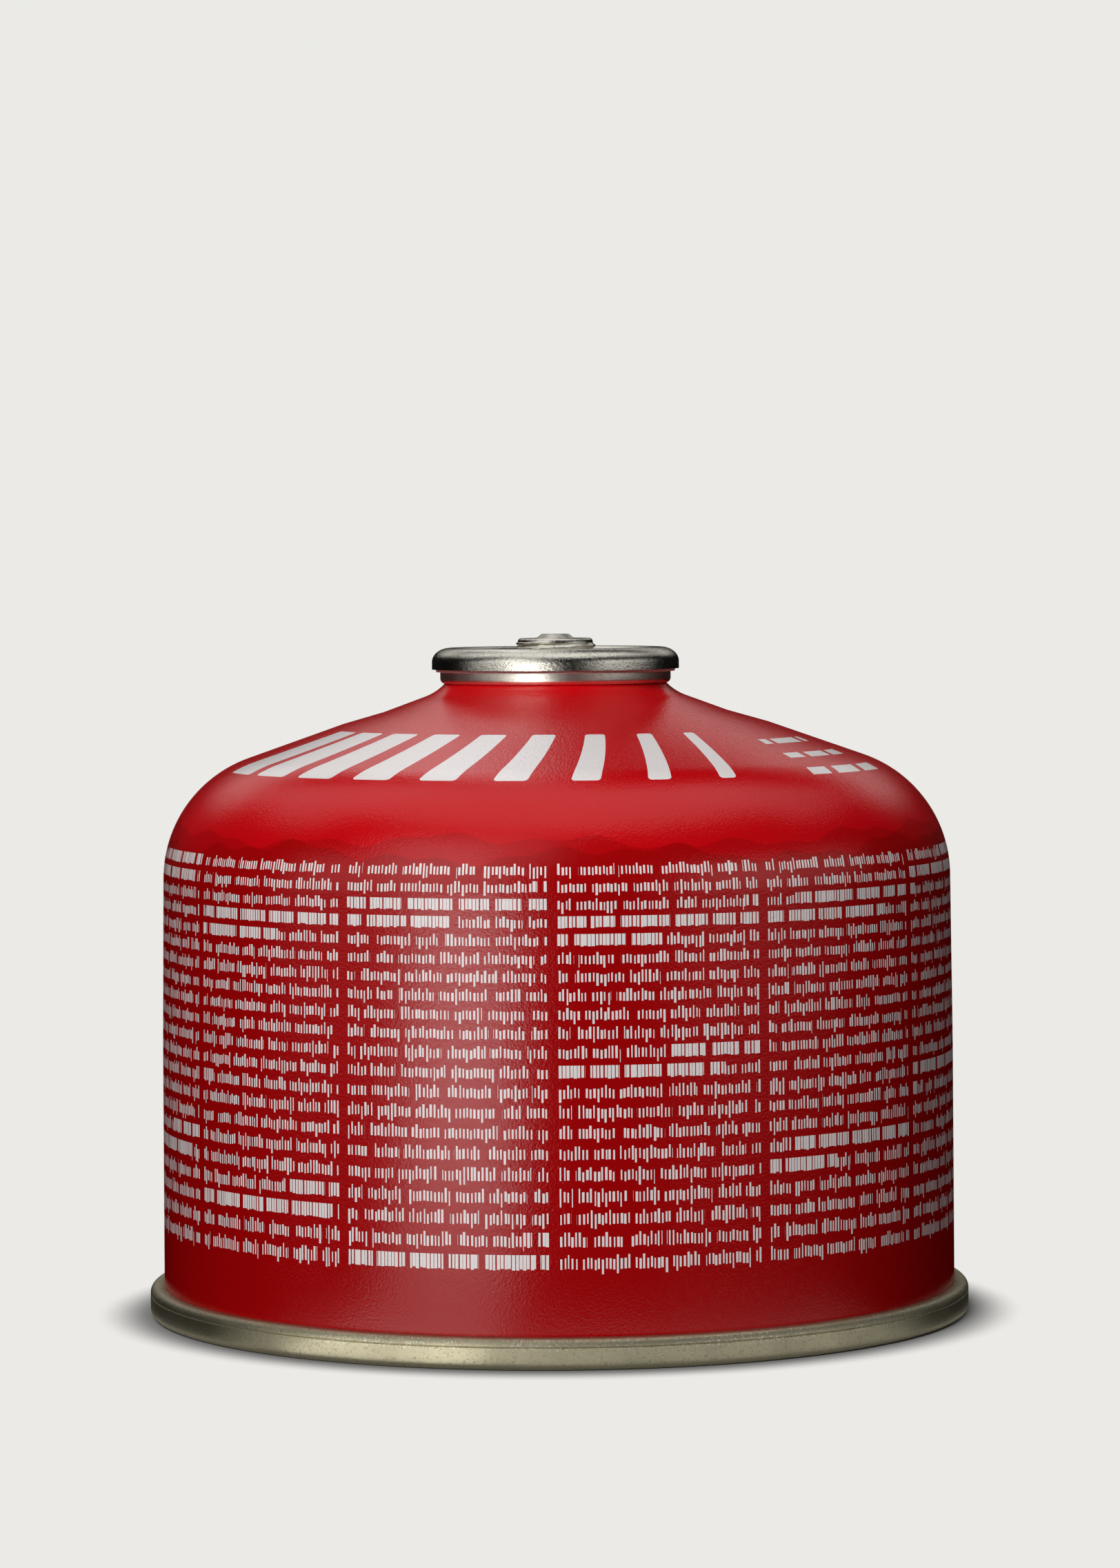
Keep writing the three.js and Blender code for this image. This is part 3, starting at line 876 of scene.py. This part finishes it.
class CupOperator(bpy.types.Operator):
    """Build the crimped valve cup with its threaded boss"""

    bl_idname = "canister.cup"
    bl_label = "Valve cup"

    rings_per_pitch = 10
    run_out = 0.4
    crest_shape = 0.8
    wall_margin = 0.05 * MM

    def bends(self, s, cup):
        """Centres of the channel's outer corner and of the rounding at the boss's root."""
        corner = (s.crimp_bore - cup.channel_corner, s.channel_floor + cup.channel_corner)
        root = (s.boss_radius + cup.boss_fillet, s.channel_floor + cup.boss_fillet)
        return corner, root

    def face(self, pen, s, cup, depth):
        """The cup's inside, from the skirt's edge to the boss, at a depth below the face that shows."""
        corner, root = self.bends(s, cup)
        rise = (cup.bead_rise - depth) / (s.arch_half - depth)
        pen.line((cup.skirt_radius - depth, s.arch_base))
        pen.arc(s.arch_centre, math.pi, ARCH_STEPS, rise)
        pen.line((s.cup_bore + depth, s.crimp_top), (s.crimp_bore + depth, s.crimp_top - cup.crimp_slope))
        pen.line((s.crimp_bore + depth, corner[1]))
        pen.arc(corner, -math.pi / 2, BEND_STEPS)
        pen.line((root[0], s.channel_floor - depth))
        pen.arc(root, -math.pi / 2, BEND_STEPS)

    def execute(self, context):
        cup = context.scene.canister_cup
        s = lines_of(context.scene)
        sheet = cup.sheet
        thread_foot = s.channel_floor + cup.boss_fillet
        thread_top = s.boss_top - cup.boss_edge
        rings = round((thread_top - thread_foot) / cup.thread_pitch * self.rings_per_pitch)
        levels = [thread_foot + (thread_top - thread_foot) * i / rings for i in range(1, rings + 1)]

        pen = Outline(cup.skirt_radius, s.skirt_bottom)
        self.face(pen, s, cup, 0)
        pen.line(*[(s.boss_radius, level) for level in levels])
        pen.arc((s.boss_radius - cup.boss_edge, thread_top), math.pi / 2, BEND_STEPS)
        pen.line((cup.cone_base, s.boss_top), (cup.cone_top, s.boss_top + cup.cone_rise))
        pen.line((cup.mouth_radius, s.boss_top + cup.cone_rise))
        pen.line((cup.mouth_radius, s.boss_top + cup.cone_rise - sheet))
        pen.line((cup.cone_top, s.boss_top + cup.cone_rise - sheet), (cup.cone_base, s.boss_top - sheet))
        pen.line((s.boss_radius - sheet, s.boss_top - sheet), (s.boss_radius - sheet, thread_foot))
        corner, root = self.bends(s, cup)
        pen.arc(root, math.pi / 2, BEND_STEPS)
        pen.line((corner[0], s.channel_floor - sheet))
        pen.arc(corner, math.pi / 2, BEND_STEPS)
        pen.line((s.crimp_bore + sheet, s.crimp_top - cup.crimp_slope), (s.cup_bore + sheet, s.crimp_top))
        pen.line((s.cup_bore + sheet, s.arch_base))
        pen.arc(s.arch_centre, -math.pi, ARCH_STEPS, (cup.bead_rise - sheet) / (s.arch_half - sheet))
        pen.line((cup.skirt_radius - sheet, s.skirt_bottom))
        bm = pen.close().turned(CUP_SIDES)
        self.cut_thread(bm, s, cup, thread_foot, thread_top)
        tin = metal("cup_tinplate", context.scene.canister_colours.tinplate, 0.08, 0.15, 3000.0, 0.05 * MM)
        piece_from(bm, "mounting_cup", [tin], "tinplate", "valve_cup")
        return {"FINISHED"}

    def cut_thread(self, bm, s, cup, foot, top):
        """Swells the boss's outer face into a helical ridge that fades at both ends."""
        for v in bm.verts:
            radius = math.hypot(v.co.x, v.co.y)
            on_boss = abs(radius - s.boss_radius) < self.wall_margin and foot < v.co.z < top + MERGE
            if not on_boss:
                continue
            turns = (v.co.z - foot) / cup.thread_pitch - math.atan2(v.co.y, v.co.x) / math.tau
            ridge = 0.5 - 0.5 * math.cos(math.tau * turns)
            from_foot = (v.co.z - foot) / cup.thread_pitch
            from_top = (top - v.co.z) / (self.run_out * cup.thread_pitch)
            fade = max(min(from_foot, from_top, 1.0), 0.0)
            grown = radius + cup.thread_depth * ridge**self.crest_shape * fade
            v.co.x *= grown / radius
            v.co.y *= grown / radius


class SealOperator(bpy.types.Operator):
    """Build the ring that shows between the cup's skirt and the neck curl"""

    bl_idname = "canister.seal"
    bl_label = "Cup seal"

    crown = math.radians(110)

    def execute(self, context):
        scene = context.scene
        can, base, cup = scene.canister_can, scene.canister_base, scene.canister_cup
        s = lines_of(scene)
        inner = can.curl_section + base.seat_gap
        across = s.arch_half - cup.sheet - base.seat_gap
        up = cup.bead_rise - cup.sheet - base.seat_gap
        lip_turn = math.asin((SEAL_LOW.z - s.curl_centre[1]) / inner)
        pen = Outline(s.arch_centre[0] + across, SEAL_LOW.z)
        pen.line((s.arch_centre[0] + across, s.arch_base))
        pen.arc(s.arch_centre, self.crown, ARCH_STEPS // 2, up / across)
        pen.line(polar(s.curl_centre, inner, self.crown))
        pen.arc(s.curl_centre, lip_turn - self.crown, ARCH_STEPS // 2)
        seal = rubber("seal_rubber", scene.canister_colours.seal)
        piece_from(pen.close().turned(CUP_SIDES), "cup_seal", [seal], "gasket_rubber", "cup_gasket")
        return {"FINISHED"}


class ValveOperator(bpy.types.Operator):
    """Build the rubber washer and the valve in the boss"""

    bl_idname = "canister.valve"
    bl_label = "Valve"

    def washer(self, valve, tint):
        """The washer, with bevelled edges."""
        bore, edge = valve.washer_bore, valve.edge
        low, high, outer = WASHER_LOW.z, WASHER_HIGH.z, WASHER_HIGH.x
        pen = Outline(bore, low + edge)
        pen.line((bore + edge, low), (outer - edge, low), (outer, low + edge))
        pen.line((outer, high - edge), (outer - edge, high), (bore + edge, high), (bore, high - edge))
        bm = pen.close().turned(VALVE_SIDES)
        piece_from(bm, "stem_washer", [rubber("washer_rubber", tint)], "seal_rubber", "stem_gasket")

    def housing(self, valve, seat_gap, tint):
        """The housing with its flange under the washer, and the plunger's tip in the washer's bore."""
        edge, low = valve.edge, VALVE_LOW.z
        radius, seat = valve.housing_radius, VALVE_HIGH.x
        tail, plunger = valve.tail_radius, valve.plunger_radius
        flange_top = WASHER_LOW.z - seat_gap
        flange_bottom = flange_top - valve.flange_height
        bottom = flange_bottom - valve.housing_height
        tip = VALVE_HIGH.z - 2 * edge
        pen = Outline(0, low).line((tail - edge, low), (tail, low + edge))
        pen.line((tail, bottom), (radius - edge, bottom), (radius, bottom + edge), (radius, flange_bottom))
        pen.line((seat, flange_bottom), (seat, flange_top), (plunger, flange_top), (plunger, tip))
        pen.arc((plunger - 2 * edge, tip), math.pi / 2, 4)
        bm = pen.line((0, VALVE_HIGH.z)).turned(VALVE_SIDES)
        piece_from(bm, "valve_housing", [moulded("valve_plastic", tint)], "valve_plastic", "valve_insert")

    def execute(self, context):
        scene = context.scene
        self.washer(scene.canister_valve, scene.canister_colours.washer)
        self.housing(scene.canister_valve, scene.canister_base.seat_gap, scene.canister_colours.valve)
        return {"FINISHED"}


class StageOperator(bpy.types.Operator):
    """Set up the camera, the lamps, the floor and the backdrop"""

    bl_idname = "canister.stage"
    bl_label = "Stage"

    def execute(self, context):
        scene = context.scene
        self.camera(scene)
        self.world(scene)
        self.floor(scene)
        self.reflections(scene)
        self.lamps(scene)
        scene.view_settings.view_transform = "Standard"
        return {"FINISHED"}

    def camera(self, scene):
        stage = scene.canister_stage
        width, height = PHOTO_SIZE
        data = bpy.data.cameras.new("camera")
        data.lens = stage.lens
        data.sensor_width = 36.0
        data.shift_x = (width / 2 - stage.middle) / max(PHOTO_SIZE)
        data.shift_y = (stage.horizon - height / 2) / max(PHOTO_SIZE)
        data.clip_start = 0.01
        camera = bpy.data.objects.new("camera", data)
        scene.collection.objects.link(camera)
        upright = Matrix.Rotation(math.pi / 2, 4, "X")
        lean = Matrix.Rotation(stage.roll, 4, "Z")
        camera.matrix_world = Matrix.Translation((0, -stage.distance, stage.height)) @ upright @ lean
        scene.camera = camera

    def seen(self, tree):
        """1 for rays from the camera, from gloss or through glass, else 0."""
        path = tree.nodes.new("ShaderNodeLightPath")
        total = path.outputs["Is Camera Ray"]
        for kind in ("Is Glossy Ray", "Is Transmission Ray"):
            joined = tree.nodes.new("ShaderNodeMath")
            joined.operation = "MAXIMUM"
            tree.links.new(total, joined.inputs[0])
            tree.links.new(path.outputs[kind], joined.inputs[1])
            total = joined.outputs[0]
        return total

    def world(self, scene):
        world = bpy.data.worlds.new("studio")
        world.use_nodes = True
        tree = world.node_tree
        tree.nodes.clear()
        lit, shown = (tree.nodes.new("ShaderNodeBackground") for _ in range(2))
        lit.inputs["Color"].default_value = (1, 1, 1, 1)
        lit.inputs["Strength"].default_value = scene.canister_stage.ambient
        shown.inputs["Color"].default_value = opaque(scene.canister_colours.studio)
        shown.inputs["Strength"].default_value = 1.0
        mix = tree.nodes.new("ShaderNodeMixShader")
        output = tree.nodes.new("ShaderNodeOutputWorld")
        tree.links.new(self.seen(tree), mix.inputs[0])
        tree.links.new(lit.outputs[0], mix.inputs[1])
        tree.links.new(shown.outputs[0], mix.inputs[2])
        tree.links.new(mix.outputs[0], output.inputs["Surface"])
        scene.world = world

    def floor(self, scene):
        """A pale floor that shows the studio's colour; near the base its own colour darkens to the shadow
        tone as a painted contact shadow, and it takes the canister's cast shadow from the lamps.
        """
        bm = bmesh.new()
        bmesh.ops.create_grid(bm, x_segments=1, y_segments=1, size=6.0)
        mesh = bpy.data.meshes.new("floor")
        bm.to_mesh(mesh)
        bm.free()
        studio = opaque(scene.canister_colours.studio)
        g = Graph("studio_floor")
        seen = self.seen(g.tree)
        bounce, tone = scene.canister_stage.bounce, scene.canister_stage.shadow_tone
        # Painted shadow: near the base, camera rays see a diffuse floor coloured by the shadow tone instead
        # of the pale glow.
        shade = g.blend(seen, (bounce, bounce, bounce, 1.0), (tone, tone, tone, 1.0))
        plain = g.node("ShaderNodeBsdfDiffuse", shade).outputs[0]
        glow = g.node("ShaderNodeEmission", studio).outputs[0]
        near = g.node(
            "ShaderNodeMapRange",
            g.radius(),
            scene.canister_stage.shadow_start,
            scene.canister_stage.shadow_reach,
            0.0,
            1.0,
            interpolation_type="SMOOTHSTEP",
        )
        share = g.times(seen, near.outputs[0])
        mesh.materials.append(g.surface(g.node("ShaderNodeMixShader", share, plain, glow).outputs[0]))
        floor = bpy.data.objects.new("floor", mesh)
        scene.collection.objects.link(floor)

    def panels(self, g, stage, across, above, rows):
        """The light of some panels together."""
        light = 0.0
        for setting, share, left, right, low, high, blur in rows:
            sides = g.times(g.ease(across, left, blur), g.minus(1.0, g.ease(across, right, blur)))
            ends = g.times(g.ease(above, low, blur), g.minus(1.0, g.ease(above, high, blur)))
            light = g.add(g.times(g.times(sides, ends), share * getattr(stage, setting)), light)
        return light

    def room_light(self, g, stage, across, above):
        """The panels and the overhead bank, over the dark room's own light."""
        bank = self.panels(g, stage, across, above, OVERHEAD_BANK)
        zenith = g.times(g.ease(above, 74, 5), stage.top_panel)
        light = g.add(g.either(bank, zenith), stage.dark_room)
        return g.add(light, self.panels(g, stage, across, above, STUDIO_PANELS))

    def floor_light(self, g, stage, across, above):
        """The key light's sheen on the far floor, and the lit floor near the base."""
        radius = g.radius()
        close = g.minus(1.0, g.ease(radius, 0.082, 0.012))
        far = g.times(g.ease(radius, 0.28, 0.20), g.minus(1.0, g.ease(radius, 1.12, 0.12)))
        gain = g.add(g.times(far, 2.9), 0.65)
        sheen = g.times(self.panels(g, stage, across, above, FLOOR_KEY), gain)
        return g.add(sheen, g.times(close, self.panels(g, stage, across, above, FLOOR_NEAR)))

    def backdrop(self, g, above):
        """The pale backdrop's band behind the canister."""
        back = g.times(g.math("COSINE", g.turn()), -1.0)
        sides = g.ease(back, math.cos(math.radians(40)), 0.1)
        return g.times(sides, g.times(g.ease(above, 22, 3), g.minus(1.0, g.ease(above, 33, 3))))

    def reflections(self, scene):
        """The studio as the canister mirrors it: soft panels in a dark room, and the pale backdrop behind."""
        stage = scene.canister_stage
        inner, size, lift = 57.0 * MM, 2.0, 0.5 * MM
        pen = Outline(inner, lift).line((size, lift)).arc((0, lift), math.pi / 2, 24)
        bm = pen.turned(DOME_SIDES)
        mesh = bpy.data.meshes.new("reflections")
        bm.to_mesh(mesh)
        bm.free()
        g = Graph("reflected_studio")
        across = g.math("DEGREES", g.turn())
        above = g.math("DEGREES", g.math("ARCTAN2", g.z, g.radius()))
        on_floor = g.under(g.z, 2 * lift)
        room = g.times(self.room_light(g, stage, across, above), g.minus(1.0, on_floor))
        light = g.add(room, g.times(self.floor_light(g, stage, across, above), on_floor))
        grey = g.node("ShaderNodeCombineColor", light, light, light).outputs[0]
        behind = g.times(self.backdrop(g, above), stage.backdrop)
        tone = g.blend(behind, grey, opaque(scene.canister_colours.studio))
        mesh.materials.append(g.surface(g.node("ShaderNodeEmission", tone).outputs[0]))
        dome = bpy.data.objects.new("reflections", mesh)
        for kind in ("camera", "diffuse", "shadow", "transmission", "volume_scatter"):
            setattr(dome, "visible_" + kind, False)
        scene.collection.objects.link(dome)

    def lamp(self, scene, name, azimuth, elevation, distance, size, level):
        """A soft box aimed at the canister, of which level 1 lights white as white."""
        aim = Vector((0, 0, 50.0 * MM))
        around, above = math.radians(azimuth), math.radians(elevation)
        level_way = Vector((math.sin(around), -math.cos(around), 0)) * math.cos(above)
        way = level_way + Vector((0, 0, math.sin(above)))
        data = bpy.data.lights.new(name, "AREA")
        data.shape = "RECTANGLE"
        data.size, data.size_y = size
        data.energy = level * (math.pi * distance) ** 2
        lamp = bpy.data.objects.new(name, data)
        turned = way.to_track_quat("Z", "Y").to_matrix().to_4x4()
        lamp.matrix_world = Matrix.Translation(aim + way * distance) @ turned
        lamp.visible_camera = lamp.visible_glossy = False
        scene.collection.objects.link(lamp)

    def lamps(self, scene):
        for name, (azimuth, elevation, distance, width, height, power) in LAMPS.items():
            level = getattr(scene.canister_stage, power)
            self.lamp(scene, name, azimuth, elevation, distance, (width, height), level)


PIECES = (CanOperator, BaseOperator, CupOperator, SealOperator, ValveOperator, StageOperator)


class CanisterPanel(bpy.types.Panel):
    """The canister's pieces and sizes"""

    bl_idname = "VIEW3D_PT_canister"
    bl_label = "Gas canister"
    bl_space_type = "VIEW_3D"
    bl_region_type = "UI"
    bl_category = "Canister"

    def draw(self, context):
        for piece in PIECES:
            self.layout.operator(piece.bl_idname)
        for key, group in GROUPS.items():
            box = self.layout.box()
            box.label(text=group.__doc__)
            for name in group.__annotations__:
                box.prop(getattr(context.scene, key), name)


def register():
    for group in GROUPS.values():
        bpy.utils.register_class(group)
    for key, group in GROUPS.items():
        setattr(bpy.types.Scene, key, bpy.props.PointerProperty(type=group))
    for cls in (*PIECES, CanisterPanel):
        bpy.utils.register_class(cls)


def unregister():
    for cls in (CanisterPanel, *reversed(PIECES)):
        bpy.utils.unregister_class(cls)
    for key in GROUPS:
        delattr(bpy.types.Scene, key)
    for group in reversed(list(GROUPS.values())):
        bpy.utils.unregister_class(group)


def main():
    register()
    bpy.ops.canister.stage()
    bpy.ops.canister.can()
    bpy.ops.canister.base()
    bpy.ops.canister.cup()
    bpy.ops.canister.seal()
    bpy.ops.canister.valve()


if __name__ == "__main__":
    main()
